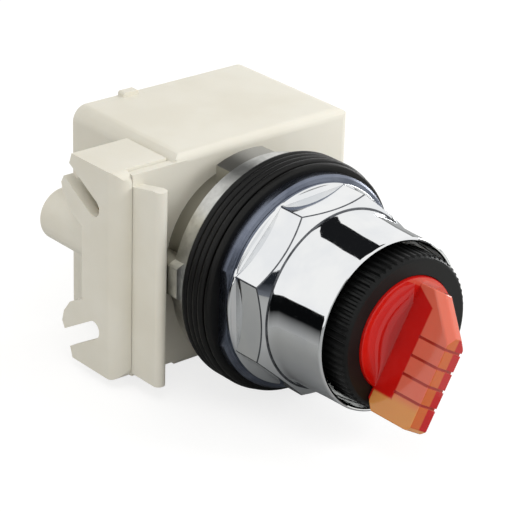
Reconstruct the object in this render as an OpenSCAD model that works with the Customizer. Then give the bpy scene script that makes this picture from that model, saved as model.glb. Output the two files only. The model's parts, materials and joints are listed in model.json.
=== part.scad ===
// Illuminated selector switch, 30 mm panel-hole pattern, with a transformer lamp module.
// The operator axis lies along Y. The knob faces -Y, the lamp module is behind at +Y, up is +Z.
// The origin is on the operator axis, at the plane where the front gasket meets the panel.

/* [Panel fixing] */
// Diameter of the threaded neck that passes through the panel hole
neck_d = 30; // [27:0.1:33]
// Length of the neck in front of the panel plane
neck_front = 18.5; // [16:0.1:21]
// Outside diameter of the rubber gaskets
gasket_d = 44; // [41:0.1:52]
// Thickness of one gasket
gasket_t = 1.4; // [1:0.05:2]
// Outside diameter of the thrust washer under the ring nut
thrust_d = 40.5; // [38.5:0.1:43]
// Distance across the two flats of the thrust washer
thrust_flats = 37.8; // [36.5:0.1:40]
// Thickness of the thrust washer
thrust_t = 2; // [1:0.1:3]
// Outside diameter of the steel locating washer and of the shoulder behind the panel
shoulder_d = 40.6; // [38:0.1:48]
// Thickness of the steel locating washer
locating_t = 1.5; // [1:0.1:2.5]

/* [Ring nut] */
// Wall of the octagonal ring nut, from the neck to the middle of a flat
nut_wall = 2.5; // [2:0.1:5]
// Depth of the octagon along the axis
nut_h = 7.4; // [6:0.1:9]
// Depth of the round face under the octagon
nut_face_t = 0.9; // [0.5:0.1:1.5]
// Wall of the smooth shroud at its front rim, from the neck's radius outwards
shroud_wall = 1; // [0.8:0.1:2]
// Length of the shroud in front of the octagon
shroud_len = 13; // [11:0.1:15]

/* [Knob] */
// Outside diameter of the knurled bezel ring
bezel_d = 28.4; // [28:0.1:28.8]
// Number of teeth on the bezel ring
bezel_teeth = 66; // [40:1:90]
// How far the bezel ring stands out of the shroud
bezel_proud = 4; // [3:0.1:6]
// Diameter of the red lens disc
lens_d = 21.2; // [19:0.1:22.4]
// Thickness of the lever handle
lever_t = 4.6; // [3.8:0.1:5.6]
// Height of the lever handle above the lens disc
lever_h = 10.6; // [8:0.1:13]
// Reach of the lever tip from the axis
lever_reach = 14.2; // [12.5:0.1:16]
// Lever angle from straight down at rest, towards the terminal side
lever_rest = 30; // [20:1:45]
// Number of grip grooves across the lever
lever_grooves = 4; // [2:1:5]

/* [Actuator] */
// Outside diameter of the turning sleeve inside the neck
sleeve_d = 25; // [23:0.1:25.6]
// Turn of the knob between its two positions, in degrees
turn = 60; // [40:1:90]
// Radius at which the two push rods stand
rod_radius = 10.4; // [10:0.1:10.8]
// Diameter of a push rod
rod_d = 3; // [2.4:0.1:3.4]
// Slope of the cam face, as rise over run
cam_slope = 0.173; // [0.1:0.005:0.19]

/* [Lamp] */
// Diameter of the lamp glass
lamp_d = 10; // [8:0.1:10.6]
// Diameter of the lamp cap
cap_d = 9.2; // [8.6:0.1:9.6]
// Outside diameter of the lamp holder tube
holder_d = 13.4; // [12.6:0.1:13.6]

/* [Lamp module] */
// Width of the transformer housing
housing_w = 42; // [38:0.1:50]
// Height of the transformer housing
housing_h = 42.2; // [41:0.1:50]
// Depth of the transformer housing from front wall to back face
housing_depth = 30.2; // [28:0.1:40]
// Sideways shift of the housing from the operator axis
housing_shift = 6; // [3:0.1:6.4]
// Wall thickness of the housing
wall = 1.9; // [1.4:0.1:2.4]
// Corner radius of the housing
corner_r = 3; // [2:0.1:4]
// Gap between the panel plane and the housing front
housing_gap = 11.4; // [11:0.1:12.4]
// Thickness of the terminal block beside the housing
block_w = 12.4; // [11.6:0.1:14]
// Height of the terminal block
block_h = 40.6; // [39:0.1:42]
// Depth of the terminal block at its middle
block_depth = 10.4; // [9.6:0.1:12]
// Width of the slanted wire slots
slot_w = 3.4; // [2.8:0.1:4]
// Slant of the wire slots, in degrees
slot_slant = 30; // [24:1:36]
// Thickness of the guard rib beside the operator
rib_t = 2.4; // [1.8:0.1:3]
// Reach of the guard rib in front of the housing
rib_reach = 7.6; // [5:0.1:9]

/* [Hidden] */
$fn = 96;

// Clearances
run = 0.08;
slip = 0.15;
over = 1;

// Front stack, from the panel plane towards the knob
gaskets = 5;
stack_y = -gaskets * gasket_t;
nut_y = stack_y - thrust_t;
octagon_y = nut_y - nut_face_t;
shroud_y = nut_y - nut_face_t - nut_h;
rim_y = shroud_y - shroud_len;
neck_r = neck_d / 2;
nut_flats = neck_d + 2 * nut_wall;
shroud_d = neck_d + 2 * shroud_wall;
nut_bore_r = neck_r + run;
washer_bore_r = neck_r + 0.3;
shroud_bore_r = neck_r + 0.25;

// Knob stack
bezel_y = rim_y - bezel_proud;
bezel_depth = 6.4;
bezel_lip = 0.65;
lens_face_y = bezel_y - 0.5;
crest_y = lens_face_y - lever_h;
lens_r = lens_d / 2;
lens_flange_r = lens_r + 2;
lens_flange_t = 1.1;
head_r = bezel_d / 2 - 1.3;
head_y = bezel_y + bezel_lip + lens_flange_t + 0.1;
lens_skirt = 6;
lens_wall = 1.4;

// Turning sleeve
sleeve_r = sleeve_d / 2;
sleeve_bore_r = 9;
flange_r = neck_r - 0.8;
flange_t = 1.5;
flange_y = -neck_front - 0.2 - flange_t;
stop_depth = 1.2;
stop_r = sleeve_r + 1.3;
stop_half = 15;
sleeve_end_y = 2;

// Chamber behind the neck
shoulder_y = locating_t;
shoulder_t = 2.9;
base_r = 16.3;
lug_rim_r = shoulder_d / 2 - 0.2;
lug_depth = 4.1;
base_end_y = housing_gap;
chamber_r = 14;
chamber_y = 0.5;
clip_y = chamber_y + 0.1;
clip_t = 0.8;
clip_groove = 0.6;
guide_t = 3;
guide_y = base_end_y - guide_t;
guide_r = chamber_r + 1.2;

// Cam and rods: the cam face is a plane that leans towards the lever
cam_r = 12.2;
cam_bore_r = 8.2;
cam_mid_y = 4.6;
rod_r = rod_d / 2;
rod_len = 7.5;
rod_lift = cam_slope * rod_radius * sin(turn / 2);
rod_dome = rod_r * (sqrt(1 + cam_slope * cam_slope) - 1) + 0.04;
left_tip_y = cam_mid_y + rod_lift + rod_dome;
right_tip_y = cam_mid_y - rod_lift + rod_dome;
collar_r = 2.3;
collar_t = 0.6;
pocket_r = 2.6;
pocket_floor = 0.8;
spring_wire = 0.35;

// Lamp
lamp_r = lamp_d / 2;
cap_r = cap_d / 2;
lamp_tip_y = head_y + 2;
cap_y = lamp_tip_y + 17;
cap_len = 10.6;
holder_r = holder_d / 2;
shell_r = holder_r - 1.3;
holder_y = -11;
holder_flange_r = 8.8;
holder_flange_t = 1.6;
lamp_lead_x = 3;

// Module
front_y = housing_gap;
back_y = front_y + housing_depth;
front_wall = 2;
cover_t = 1.8;
left_x = housing_shift - housing_w / 2;
right_x = housing_shift + housing_w / 2;
front_round = 2;
block_x = left_x - block_w;
block_seam_x = block_x + 3.4;
block_lip = 2;
block_rear_y = front_y + block_depth;
block_tail = 4.2;
wing_t = 1.8;

// Fixing screws of the module, one each side of the operator
lug_x = 19;
lug_z = 1.5;
lug_r = 3.6;
lug_tap_r = 1.55;
screw_r = 1.5;
screw_hole_r = 1.8;
screw_head_r = 3;
screw_head_t = 2;
screw_tip_y = shoulder_y + shoulder_t + 0.6;
screw_seat_y = back_y - 5.2;
boss_r = 5.2;
boss_end_y = screw_seat_y + screw_head_t + 2.4;
tower_r = 3.9;

// Transformer
core_mid_y = front_y + front_wall + 13.6;
core_w = 26;
core_mid_x = lug_x - tower_r - 0.4 - core_w / 2;
core_leg = 8.6;
core_limb = 4.4;
core_h = 27;
core_stack = 10;
window_w = (core_w - core_leg - 2 * core_limb) / 2;
window_h = core_h - 2 * core_limb;
bobbin_wall = 0.6;
coil_gap = 0.15;
coil_build = window_w - bobbin_wall - 3 * coil_gap;
bobbin_half = window_h / 2 - 0.1;
cheek_t = 0.9;
cheek_reach = window_w - 0.2;
cheek_front_y = core_mid_y - core_stack / 2 - 0.1 - cheek_reach;
post_w = 3;
post_z = 7;

// Two terminals, above and below the middle
slot_inner_y = front_y + 6.6;
slot_inner_z = 11.9;
pocket_x = block_x + block_w / 2;
pocket_w = block_w - 2 * block_lip;
pocket_h = 6.8;
clamp_w = pocket_w - 0.6;
clamp_t = 1;
clamp_y = 0.2;
lead_r = 0.5;
lead_y = slot_inner_y + (clamp_y + clamp_t / 2) * cos(slot_slant);
lead_z = slot_inner_z + (clamp_y + clamp_t / 2) * sin(slot_slant);

// Places a 2D drawing in X and Z, filling from y to y + depth
module slab(y, depth) {
    translate([0, y + depth, 0]) rotate([90, 0, 0]) linear_extrude(depth) children();
}

// Turns a 2D drawing of radius and Y into a solid about the operator axis
module turned() {
    rotate([-90, 0, 0]) rotate_extrude() children();
}

module rod_y(r, y, len) {
    translate([0, y, 0]) rotate([-90, 0, 0]) cylinder(r = r, h = len);
}

module tube_y(r_out, r_in, y, len) {
    difference() {
        rod_y(r_out, y, len);
        rod_y(r_in, y - over, len + 2 * over);
    }
}

module cone_y(r_front, r_back, y, len) {
    translate([0, y, 0]) rotate([-90, 0, 0]) cylinder(r1 = r_front, r2 = r_back, h = len);
}

// Rectangle with true round corners, centred
module round_rect(w, h, r) {
    square([w - 2 * r, h], center = true);
    square([w, h - 2 * r], center = true);
    for (sx = [-1, 1], sz = [-1, 1])
        translate([sx * (w / 2 - r), sz * (h / 2 - r)]) circle(r = r, $fn = 48);
}

// Wedge in X and Z about straight down, to either side by half
module down_wedge(half, y, len) {
    reach = neck_d;
    slab(y, len) polygon([[0, 0], [-reach * sin(half), -reach * cos(half)],
                          [reach * sin(half), -reach * cos(half)]]);
}

// Turns a child drawn pointing straight down to the lever's rest angle
module at_lever() {
    rotate([0, lever_rest, 0]) children();
}

// Helical spring along Y, starting at y
module coil_spring(r, wire, y, len, turns) {
    sides = 6;
    steps = 14;
    count = turns * steps;
    points = [for (i = [0:count], k = [0:sides - 1])
        let (a = 360 * i / steps, b = 360 * k / sides, rr = r + wire / 2 * cos(b))
        [rr * cos(a), y + wire / 2 + (len - wire) * i / count + wire / 2 * sin(b), rr * sin(a)]];
    skin = [for (i = [0:count - 1], k = [0:sides - 1])
        [i * sides + k, (i + 1) * sides + k, (i + 1) * sides + (k + 1) % sides, i * sides + (k + 1) % sides]];
    first_cap = [[for (k = [0:sides - 1]) sides - 1 - k]];
    last_cap = [[for (k = [0:sides - 1]) count * sides + k]];
    polyhedron(points = points, faces = concat(skin, first_cap, last_cap), convexity = 6);
}

// ---------------- knob ----------------

// Side outline of the lever: across is distance along the lever, second value is Y
module lever_outline() {
    polygon([[-9.2, lens_face_y + 0.2], [-3.2, crest_y], [lever_reach - 0.8, crest_y],
             [lever_reach, lens_face_y - 1.1], [lens_r - 0.2, lens_face_y - 0.2],
             [lens_r - 0.6, lens_face_y + 0.6], [-9, lens_face_y + 0.6]]);
}

// Slab through the lever outline, of a given thickness, pointing straight down
module lever_slab(t) {
    translate([-t / 2, 0, 0]) rotate([0, 90, 0]) linear_extrude(t) children();
}

module lever_grooves_cut() {
    first = -0.9;
    pitch = (lever_reach - 4.9 - first) / 3;
    cut = 0.3;
    for (i = [0:lever_grooves - 1], side = [-1, 1])
        translate([side * lever_t / 2, crest_y + 2.9, -first - i * pitch])
            cube([2 * cut, 8, 0.5], center = true);
    for (i = [0:lever_grooves - 1])
        translate([0, crest_y, -first - i * pitch]) cube([lever_t + over, 2 * cut, 0.5], center = true);
}

module knob_lens() {
    skirt_y = lens_face_y + lens_skirt + 2;
    hollow_y = lens_face_y + 1.8;
    color([0.8, 0.06, 0.05, 0.85])
    difference() {
        union() {
            rod_y(lens_r, lens_face_y, skirt_y - lens_face_y);
            rod_y(lens_flange_r, bezel_y + bezel_lip, lens_flange_t);
            at_lever() difference() {
                lever_slab(lever_t) lever_outline();
                lever_grooves_cut();
            }
        }
        rod_y(lens_r - lens_wall, hollow_y, skirt_y - hollow_y + over);
        at_lever() translate([-1.1, crest_y + 6.2, -8]) cube([2.2, hollow_y - crest_y - 6.2 + 0.2, 12.6]);
    }
}

// Outline with one tooth per step round the ring
module toothed_disc(r, depth, teeth) {
    polygon([for (i = [0:teeth - 1], s = [0, 1, 2, 3])
        let (a = 360 * (i + [0, 0.3, 0.5, 0.8][s]) / teeth, rr = s == 0 || s == 1 ? r : r - depth)
        [rr * cos(a), rr * sin(a)]]);
}

module bezel_ring() {
    r = bezel_d / 2;
    color([0.07, 0.07, 0.075])
    difference() {
        intersection() {
            slab(bezel_y, bezel_depth) toothed_disc(r, 0.4, bezel_teeth);
            turned() polygon([[0, bezel_y], [r - 0.85, bezel_y], [r - 0.5, bezel_y + 0.15],
                              [r - 0.15, bezel_y + 0.6], [r + over, bezel_y + 0.9],
                              [r + over, bezel_y + bezel_depth + over], [0, bezel_y + bezel_depth + over]]);
        }
        rod_y(lens_r + slip, bezel_y - over, over + bezel_lip + over);
        rod_y(head_r + run, bezel_y + bezel_lip, bezel_depth);
    }
}

module turning_sleeve() {
    color([0.13, 0.13, 0.14])
    difference() {
        union() {
            rod_y(head_r, head_y, flange_y - head_y + 0.1);
            rod_y(flange_r, flange_y, flange_t);
            rod_y(sleeve_r, flange_y + 0.5, sleeve_end_y - flange_y - 0.5);
            at_lever() intersection() {
                tube_y(stop_r - run, sleeve_r - 1, flange_y + flange_t - 0.1, stop_depth);
                down_wedge(stop_half, flange_y, 4);
            }
        }
        rod_y(lens_r + slip, head_y - over, lens_skirt + over);
        rod_y(sleeve_bore_r, head_y, sleeve_end_y - head_y + over);
        tube_y(sleeve_r + over, sleeve_r - clip_groove, clip_y, clip_t);
    }
}

module sleeve_clip() {
    color([0.55, 0.56, 0.58])
    difference() {
        tube_y(chamber_r - 0.5, sleeve_r - clip_groove + run, clip_y + 0.02, clip_t - 0.04);
        slab(clip_y - over, clip_t + 2 * over) translate([-2, 0]) square([4, neck_r]);
    }
}

module actuator_cam() {
    lean = atan(cam_slope);
    color([0.93, 0.92, 0.88])
    at_lever() difference() {
        rod_y(cam_r, sleeve_end_y, 6);
        rod_y(cam_bore_r, sleeve_end_y - over, 6 + 2 * over);
        translate([0, cam_mid_y, 0]) rotate([lean, 0, 0]) translate([-neck_r, 0, -neck_r * 1.5])
            cube([neck_d, neck_r, neck_d * 1.5]);
    }
}

module detent_spring() {
    nose_r = 0.7;
    ring_in = cam_r + 0.1;
    ring_out = cam_r + 0.9;
    color([0.66, 0.67, 0.7])
    at_lever() difference() {
        union() {
            tube_y(ring_out, ring_in, sleeve_end_y + 0.1, 1.4);
            translate([0, 0, -(chamber_r - 0.1 - nose_r)]) rod_y(nose_r, sleeve_end_y + 0.1, 1.4);
        }
        rod_y(ring_in, sleeve_end_y - over, 4);
        slab(sleeve_end_y - over, 4) translate([-1.5, 0]) square([3, neck_r]);
    }
}

// ---------------- operator ----------------

// Lug left by the casting behind the shoulder, as wide as from one X to the other
module cast_lug(from_x, to_x) {
    slab(shoulder_y + shoulder_t - 0.5, lug_depth + 0.5) intersection() {
        circle(r = lug_rim_r);
        translate([from_x, 0]) square([to_x - from_x, shoulder_d]);
    }
}

// The two tapped lugs for the module screws, cut flat beside the guard rib
module screw_lugs() {
    flat_x = -(block_seam_x + 0.1 + rib_t) - 0.25;
    intersection() {
        for (s = [-1, 1]) translate([s * lug_x, 0, s * -lug_z])
            rod_y(lug_r, shoulder_y + 0.5, base_end_y - shoulder_y - 0.5);
        slab(0, housing_gap + over) square([2 * flat_x, 4 * lug_r], center = true);
    }
}

module detent_grooves() {
    for (a = [lever_rest, lever_rest - turn])
        rotate([0, a, 0]) translate([0, 0, -(chamber_r - 0.1)]) rod_y(0.95, chamber_y, guide_y - chamber_y + 0.1);
}

module operator_body() {
    color([0.62, 0.62, 0.6])
    difference() {
        union() {
            rod_y(neck_r, -neck_front, neck_front + shoulder_y + 0.1);
            rod_y(shoulder_d / 2, shoulder_y, shoulder_t);
            rod_y(base_r, shoulder_y + shoulder_t - 0.1, base_end_y - shoulder_y - shoulder_t + 0.1);
            for (a = [0, 180]) rotate([0, a, 0]) cast_lug(-7.5, 3);
            screw_lugs();
        }
        rod_y(sleeve_r + run, -neck_front - over, neck_front + over + chamber_y + 0.1);
        rod_y(chamber_r, chamber_y, base_end_y);
        rod_y(guide_r + run, guide_y, guide_t + over);
        turned() translate([sleeve_r + 0.9, -neck_front / 2]) square([2.2, 2.2], center = true);
        intersection() {
            tube_y(stop_r, sleeve_r - over, -neck_front - over, over + stop_depth + 0.2);
            down_wedge(turn / 2 + stop_half + 0.4, -neck_front - 2 * over, 6);
        }
        detent_grooves();
        for (s = [-1, 1]) translate([s * lug_x, 0, s * -lug_z])
            rod_y(lug_tap_r, screw_tip_y - 0.4, base_end_y);
    }
}

module shaft_seal() {
    cord_r = 0.7;
    color([0.1, 0.1, 0.1])
    turned() translate([sleeve_r + run + cord_r + 0.04, -neck_front / 2]) circle(r = cord_r, $fn = 32);
}

module ring_nut() {
    corner = nut_flats / 2 / cos(22.5);
    shroud_r = shroud_d / 2;
    root_r = nut_flats / 2 - 0.6;
    color([0.85, 0.86, 0.88])
    difference() {
        union() {
            intersection() {
                slab(shroud_y, nut_h) rotate(22.5) circle(r = corner, $fn = 8);
                turned() polygon([[0, shroud_y], [root_r, shroud_y], [corner + 0.6, octagon_y - nut_h * 0.68],
                                  [corner + 0.6, octagon_y + over], [0, octagon_y + over]]);
            }
            rod_y(corner + 0.1, octagon_y - 0.1, nut_face_t + 0.1);
            turned() polygon([[0, shroud_y + over], [root_r, shroud_y + over], [root_r, shroud_y],
                              [root_r - 0.35, shroud_y - 1.1], [shroud_r + 0.32, shroud_y - 3.4],
                              [shroud_r + 0.12, shroud_y - 5], [shroud_r, rim_y + 1.2],
                              [shroud_r, rim_y + 0.35], [shroud_r - 0.12, rim_y + 0.12],
                              [shroud_r - 0.35, rim_y], [0, rim_y]]);
        }
        rod_y(nut_bore_r, shroud_y - over, nut_y - shroud_y + 2 * over);
        rod_y(shroud_bore_r, rim_y - over, shroud_y - rim_y + over);
    }
}

module thrust_washer() {
    r = thrust_d / 2;
    chamfer = 0.4;
    color([0.42, 0.44, 0.5])
    intersection() {
        turned() polygon([[washer_bore_r, stack_y], [r, stack_y], [r, nut_y + chamfer],
                          [r - chamfer, nut_y], [washer_bore_r, nut_y]]);
        slab(nut_y - over, thrust_t + 2 * over) square([thrust_flats, 2 * thrust_d], center = true);
    }
}

module gasket(index) {
    bead = gasket_t / 2;
    rim = gasket_d / 2 - (index == 1 ? 0.4 : 0);
    y = stack_y + (index - 1) * gasket_t;
    color([0.08, 0.08, 0.085])
    turned() {
        translate([washer_bore_r, y]) square([rim - bead - washer_bore_r, gasket_t]);
        translate([rim - bead, y + bead]) circle(r = bead, $fn = 40);
    }
}

module locating_washer() {
    color([0.72, 0.72, 0.71])
    difference() {
        tube_y(shoulder_d / 2, neck_r + 0.1, 0, locating_t);
        slab(-over, locating_t + 2 * over) translate([0, shoulder_d / 2]) square([4, 3], center = true);
    }
}

module rod_guide() {
    color([0.16, 0.16, 0.17])
    difference() {
        rod_y(guide_r, guide_y, guide_t);
        rod_y(holder_r + slip, guide_y - over, guide_t + 2 * over);
        for (s = [-1, 1]) translate([s * rod_radius, 0, 0]) {
            rod_y(pocket_r, guide_y - over, over + guide_t - pocket_floor);
            rod_y(rod_r + run, guide_y, guide_t + over);
        }
    }
}

// One push rod: domed tip, collar under it for the spring, plain tail
module push_rod(x, tip_y) {
    color([0.9, 0.9, 0.86])
    translate([x, 0, 0]) {
        translate([0, tip_y + rod_r, 0]) sphere(r = rod_r, $fn = 48);
        rod_y(rod_r, tip_y + rod_r, rod_len - rod_r);
        rod_y(collar_r, tip_y + rod_r - 0.1, collar_t);
    }
}

module left_rod() {
    push_rod(-rod_radius, left_tip_y);
}

module right_rod() {
    push_rod(rod_radius, right_tip_y);
}

// Return spring behind the collar, at the length it has when the rod is pushed in
module rod_spring(x, tip_y) {
    seat = tip_y + rod_r - 0.1 + collar_t;
    squeezed = guide_y + guide_t - pocket_floor - (left_tip_y + rod_r - 0.1 + collar_t) - 0.1;
    color([0.7, 0.71, 0.73])
    translate([x, 0, 0])
        coil_spring(rod_r + 0.12 + spring_wire / 2, spring_wire, seat + 0.02, squeezed, 4);
}

module left_rod_spring() {
    rod_spring(-rod_radius, left_tip_y);
}

module right_rod_spring() {
    rod_spring(rod_radius, right_tip_y);
}

// ---------------- lamp and socket ----------------

module lamp_glass() {
    neck = cap_r - 0.6;
    color([0.93, 0.95, 0.96, 0.4])
    difference() {
        union() {
            rod_y(lamp_r, lamp_tip_y + lamp_r, 8);
            translate([0, lamp_tip_y + lamp_r, 0]) sphere(r = lamp_r, $fn = 64);
            cone_y(lamp_r, neck, lamp_tip_y + lamp_r + 8, cap_y - lamp_tip_y - lamp_r - 8);
            rod_y(neck, cap_y - 0.1, 2);
        }
        rod_y(lamp_r - 0.6, lamp_tip_y + lamp_r, 8);
        translate([0, lamp_tip_y + lamp_r, 0]) sphere(r = lamp_r - 0.6, $fn = 64);
    }
}

module lamp_cap() {
    color([0.76, 0.64, 0.36])
    difference() {
        union() {
            rod_y(cap_r, cap_y, cap_len);
            rod_y(1.6, cap_y + cap_len - 0.1, 1.1);
            translate([-cap_r - 0.5, cap_y + cap_len - 3.2, 0]) rotate([0, 90, 0])
                cylinder(r = 0.6, h = cap_d + 1, $fn = 24);
        }
        rod_y(cap_r - 0.5, cap_y - over, 2.6 + over);
    }
}

module lamp_filament() {
    color([0.5, 0.5, 0.52])
    {
        for (s = [-1, 1]) translate([s * 1.6, 0, 0]) rod_y(0.25, lamp_tip_y + 4.2, 8.3);
        translate([-1.85, lamp_tip_y + 4.4, 0]) rotate([0, 90, 0]) cylinder(r = 0.3, h = 3.7, $fn = 24);
    }
}

module lamp_holder() {
    floor_y = front_y + front_wall;
    color([0.2, 0.2, 0.21])
    difference() {
        union() {
            rod_y(holder_r, holder_y, floor_y - holder_y + 0.1);
            rod_y(holder_flange_r, floor_y, holder_flange_t);
        }
        rod_y(shell_r + run, holder_y - over, floor_y - holder_y + over);
        for (s = [-1, 1]) translate([s * lamp_lead_x, 0, 0]) rod_y(lead_r + 0.2, floor_y - over, 4);
    }
}

module socket_shell() {
    len = front_y + front_wall - holder_y - 0.4;
    color([0.8, 0.68, 0.4])
    difference() {
        tube_y(shell_r, shell_r - 0.4, holder_y + 0.2, len);
        for (s = [-1, 1])
            translate([s * shell_r, holder_y + 3, 0]) cube([3, 8.4, 1.6], center = true);
    }
}

module socket_contact() {
    y = cap_y + cap_len + 1.1;
    color([0.8, 0.68, 0.4])
    {
        rod_y(2.2, y, 0.8);
        rod_y(1, y + 0.7, 3);
    }
}

module contact_spring() {
    y = cap_y + cap_len + 1.9;
    color([0.7, 0.71, 0.73])
        coil_spring(1.75, 0.4, y + 0.02, front_y + front_wall - y - 0.05, 5);
}

// ---------------- module ----------------

// Housing outline from in front
module housing_front_outline(inset) {
    translate([housing_shift, 0])
        round_rect(housing_w - 2 * inset, housing_h - 2 * inset, corner_r - inset / 2);
}

// Block whose front edges are rounded, from its extent across and its depth
module front_rounded(low, high, reach) {
    r = front_round;
    translate([low, front_y + r]) square([high - low, reach]);
    translate([low + r, front_y]) square([high - low - 2 * r, reach]);
    for (at = [low + r, high - r]) translate([at, front_y + r]) circle(r = r, $fn = 48);
}

module housing_skin() {
    intersection() {
        slab(front_y, housing_depth - cover_t) housing_front_outline(0);
        translate([0, 0, -housing_h]) linear_extrude(2 * housing_h)
            front_rounded(left_x, right_x, housing_depth);
        translate([left_x - over, 0, 0]) rotate([90, 0, 90]) linear_extrude(housing_w + 2 * over)
            front_rounded_z();
    }
}

module front_rounded_z() {
    half = housing_h / 2;
    r = front_round;
    translate([front_y + r, -half]) square([housing_depth, housing_h]);
    translate([front_y, -half + r]) square([housing_depth, housing_h - 2 * r]);
    for (s = [-1, 1]) translate([front_y + r, s * (half - r)]) circle(r = r, $fn = 48);
}

// Wing of the front wall that reaches over the terminal block, with the guard rib at its edge
module front_wing() {
    wing_h = block_h - 1.2;
    edge = rib_t / 2;
    slab(front_y, wing_t) translate([block_seam_x + 0.1, -wing_h / 2]) square([left_x - block_seam_x + 3, wing_h]);
    translate([block_seam_x + 0.1, 0, 0]) intersection() {
        translate([0, 0, -wing_h / 2 + 0.6]) linear_extrude(wing_h - 1.6) {
            translate([0, front_y - rib_reach + edge]) square([rib_t, rib_reach]);
            translate([edge, front_y - rib_reach + edge]) circle(r = edge, $fn = 32);
        }
        rotate([90, 0, 90]) linear_extrude(rib_t + over)
            polygon([[front_y - rib_reach - over, -wing_h], [front_y + 3, -wing_h],
                     [front_y + 3, wing_h / 2 - 2.8], [front_y - rib_reach - over, wing_h / 2 - 0.4]]);
    }
}

// Square posts that hold the transformer core by its side limbs
module core_posts(y, len) {
    for (sx = [-1, 1], sz = [-1, 1])
        translate([core_mid_x + sx * (core_w - core_limb) / 2, y + len / 2, sz * post_z])
            cube([post_w, len, post_w], center = true);
}

module module_housing() {
    inner = housing_depth - front_wall;
    floor_y = front_y + front_wall;
    core_front_y = core_mid_y - core_stack / 2;
    color([0.9, 0.88, 0.81])
    difference() {
        union() {
            difference() {
                union() {
                    housing_skin();
                    front_wing();
                }
                slab(front_y + front_wall, inner) housing_front_outline(wall);
            }
            intersection() {
                translate([lug_x, 0, -lug_z]) rod_y(tower_r, front_y + 0.5, screw_seat_y - front_y - 0.5);
                slab(front_y, housing_depth) housing_front_outline(0);
            }
            core_posts(floor_y - 0.1, core_front_y - floor_y + 0.08);
        }
        rod_y(holder_r + slip, front_y - over, front_wall + 2 * over);
        for (s = [-1, 1]) translate([s * rod_radius, 0, 0]) rod_y(rod_r + 0.4, front_y - over, front_wall + 2 * over);
        for (s = [-1, 1]) translate([s * lug_x, 0, s * -lug_z])
            rod_y(screw_hole_r, front_y - over, housing_depth + 2 * over);
        for (s = [-1, 1]) translate([left_x - over, lead_y, s * lead_z])
            rotate([0, 90, 0]) cylinder(r = lead_r + 0.2, h = wall + 2 * over, $fn = 32);
    }
}

module back_cover() {
    y = back_y - cover_t;
    core_rear_y = core_mid_y + core_stack / 2;
    latch_x = -2.8;
    color([0.9, 0.88, 0.81])
    difference() {
        union() {
            slab(y, cover_t) housing_front_outline(0);
            slab(y - 2, 2.1) difference() {
                housing_front_outline(wall + 0.12);
                housing_front_outline(2 * wall + 0.12);
            }
            slab(y, cover_t) translate([latch_x, housing_h / 2]) round_rect(3.6, 1.8, 0.5);
            core_posts(core_rear_y + 0.02, y - core_rear_y + 0.08);
        }
        translate([lug_x, 0, -lug_z]) rod_y(tower_r + 0.3, y - 4, cover_t + 4 + over);
    }
}

// Outline of the terminal block from the side: across is Y, up is Z; two hooked ends
module block_outline() {
    half = block_h / 2;
    lip_y = block_rear_y + block_tail + 2;
    for (s = [0, 1]) mirror([0, s]) {
        translate([front_y, 0]) square([block_depth, half - 6]);
        polygon([[front_y, half - 8], [block_rear_y - 1.5, 5], [block_rear_y, 7.2],
                 [lip_y - 2.4, 9.2], [lip_y - 0.6, 11.6], [lip_y, 13.8], [lip_y - 1, 15.6],
                 [lip_y - 2.6, 18.6], [block_rear_y + 3, half],
                 [front_y + 2.4, half], [front_y, half - 2.4]]);
        translate([front_y + 2.4, half - 2.4]) circle(r = 2.4, $fn = 48);
    }
}

// Slot or pocket that slants outward from its round inner end
module slanted(w, start) {
    for (s = [0, 1]) mirror([0, s])
        translate([slot_inner_y, slot_inner_z]) rotate(slot_slant) {
            translate([start, -w / 2]) square([22, w]);
            translate([start, 0]) circle(r = w / 2, $fn = 40);
        }
}

// Body of the terminal block, with its outer front edge rounded
module block_body() {
    edge_r = 3;
    intersection() {
        translate([block_x, 0, 0]) rotate([90, 0, 90]) linear_extrude(block_w - 0.1) block_outline();
        translate([0, 0, -block_h]) linear_extrude(2 * block_h) {
            translate([block_x + edge_r, front_y]) square([block_w, housing_depth]);
            translate([block_x, front_y + edge_r]) square([block_w, housing_depth]);
            translate([block_x + edge_r, front_y + edge_r]) circle(r = edge_r, $fn = 48);
        }
    }
}

// Round boss for the fixing screw on the terminal side, cut flat where it meets the housing
module screw_boss() {
    taper = 1.5;
    difference() {
        translate([-lug_x, 0, lug_z]) {
            rod_y(boss_r, block_rear_y - 0.2, boss_end_y - block_rear_y - taper + 0.2);
            cone_y(boss_r, boss_r - taper, boss_end_y - taper, taper);
        }
        translate([left_x - 0.1, block_rear_y - over, -housing_h]) cube([20, 40, 2 * housing_h]);
    }
}

module terminal_block() {
    color([0.9, 0.88, 0.81])
    difference() {
        union() {
            block_body();
            screw_boss();
        }
        translate([block_x - over, 0, 0]) rotate([90, 0, 90])
            linear_extrude(block_w + 2 * over) slanted(slot_w, 0.3);
        translate([block_x + block_lip, 0, 0]) rotate([90, 0, 90])
            linear_extrude(pocket_w) slanted(pocket_h, 2);
        slab(front_y - over, over + wing_t + 0.1) translate([block_seam_x, -block_h])
            square([block_w, 2 * block_h]);
        translate([-lug_x, 0, lug_z]) {
            rod_y(screw_hole_r, front_y - over, housing_depth);
            rod_y(screw_head_r + 0.25, screw_seat_y, housing_depth);
        }
    }
}

// Places a child at a terminal, turned so that +Y runs out along the slot
module at_terminals() {
    for (s = [0, 1]) mirror([0, 0, s])
        translate([pocket_x, slot_inner_y, slot_inner_z]) rotate([slot_slant, 0, 0]) children();
}

module terminal_clamps() {
    clamp_h = 5.4;
    color([0.8, 0.68, 0.4])
    at_terminals() difference() {
        translate([-clamp_w / 2, clamp_y, -clamp_h / 2]) cube([clamp_w, clamp_t, clamp_h]);
        rod_y(screw_r + 0.05, -over, 4);
    }
}

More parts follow.
